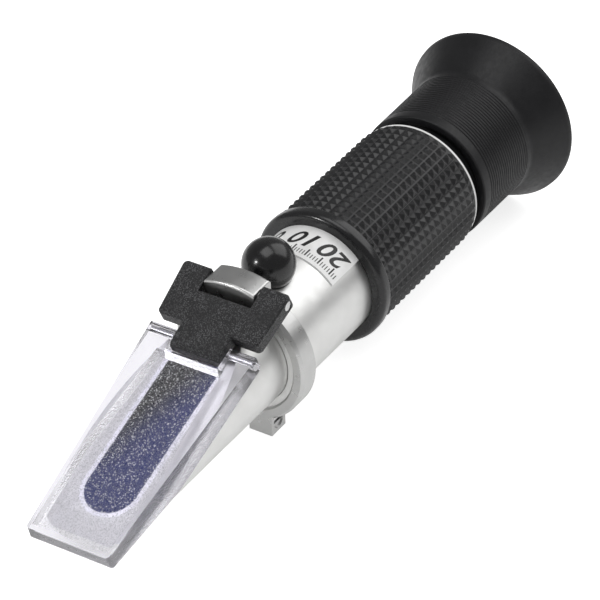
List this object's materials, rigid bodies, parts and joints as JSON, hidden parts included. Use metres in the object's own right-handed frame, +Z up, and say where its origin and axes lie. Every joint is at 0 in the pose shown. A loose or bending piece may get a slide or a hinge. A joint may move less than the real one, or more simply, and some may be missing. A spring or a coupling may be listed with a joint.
{
  "type": "refractometer",
  "caption": "Handheld optical refractometer: slanted prism under a hinged clear cover plate, satin tube, studded rubber grip, focusing eyepiece with flared eyecup",
  "frame": {"origin": "Middle of the length and of the width, on the plane touched by the lowest point of the eyecup rim.", "axes": "+X runs along the optical axis from the prism end to the eyecup, +Z is up on the side of the cover plate, +Y completes the right-handed frame."},
  "size_m": [0.16, 0.0392, 0.0402],
  "materials": {
    "satin_aluminium": "fine bead-blasted and clear anodised, satin",
    "plated_casting": "satin plated die casting, polished on the lug top",
    "steel": "bright drawn steel",
    "prism_glass": "polished optical glass, looks deep blue to black from above",
    "grey_sealant": "grey elastic sealant",
    "label_film": "white satin film",
    "black_rubber": "matt moulded rubber",
    "gloss_rubber": "glossy moulded rubber",
    "white_ring": "thin white ring",
    "brass": "machined brass",
    "bimetal": "rolled bimetal",
    "black_anodised": "matt black anodised",
    "optical_glass": "polished and coated glass",
    "black_plastic": "matt black moulded plastic",
    "powder_coat": "black powder coat with a fine sparkling grain",
    "clear_acrylic": "clear moulded acrylic, frosted underneath"
  },
  "bodies": {
    "housing": {"main_tube": "satin_aluminium", "clamp_collar": "plated_casting", "clamp_screw": "steel", "hinge_pin": "steel", "prism_housing": "satin_aluminium", "measuring_prism": "prism_glass", "prism_seal": "grey_sealant", "label": "label_film", "grip_sleeve": "black_rubber", "grip_end_ring": "white_ring", "screw_bush": "brass", "bimetal_strip": "bimetal", "strip_anchor": "brass", "strip_screw": "steel", "baffle_ring": "black_anodised", "reticle_holder": "black_anodised", "reticle_disc": "optical_glass", "reticle_retaining_ring": "black_anodised", "eyepiece_bush": "black_plastic"},
    "bracket": {"cover_bracket": "powder_coat", "plate_pin": "steel"},
    "plate": {"cover_plate": "clear_acrylic"},
    "cap": {"screw_cap": "gloss_rubber"},
    "adjuster": {"calibration_screw": "brass"},
    "lens_cell": {"objective_cell": "black_anodised", "objective_lens": "optical_glass", "objective_retaining_ring": "black_anodised"},
    "eyepiece": {"eyepiece_barrel": "black_plastic", "guide_pin": "steel", "field_lens": "optical_glass", "lens_spacer": "black_anodised", "eye_lens": "optical_glass", "eye_retaining_ring": "black_plastic"},
    "focus_ring": {"focusing_ring": "black_plastic", "eyecup": "black_rubber"}
  },
  "joints": [
    {"name": "cover_swing", "type": "hinge", "parent": "housing", "child": "bracket", "pos_m": [-0.02, 0, 0.03625], "axis": [0, 1, 0], "range_deg": [0, 120]},
    {"name": "plate_tilt", "type": "hinge", "parent": "bracket", "child": "plate", "pos_m": [-0.03211, 0, 0.02944], "axis": [0, 1, 0], "range_deg": [0, 25]},
    {"name": "cap_lift", "type": "slide", "parent": "housing", "child": "cap", "axis": [0, 0, 1], "range_m": [0, 0.01]},
    {"name": "calibration_turn", "type": "hinge", "parent": "housing", "child": "adjuster", "pos_m": [-0.008, 0, 0.03265], "axis": [0, 0, 1], "range_deg": [-360, 360]},
    {"name": "calibration_shift", "type": "slide", "parent": "housing", "child": "lens_cell", "axis": [0, 0, 1], "range_m": [-0.0005, 0.0005]},
    {"name": "focus_travel", "type": "slide", "parent": "housing", "child": "eyepiece", "axis": [1, 0, 0], "range_m": [-0.00225, 0.00225]},
    {"name": "focus_turn", "type": "hinge", "parent": "eyepiece", "child": "focus_ring", "pos_m": [0.06, 0, 0.01965], "axis": [1, 0, 0], "range_deg": [-90, 90]}
  ],
  "couplings": [
    {"joint": "calibration_turn", "follows": "calibration_shift", "rad_per_m": -12566},
    {"joint": "focus_travel", "follows": "focus_turn", "m_per_rad": 0.00143}
  ]
}
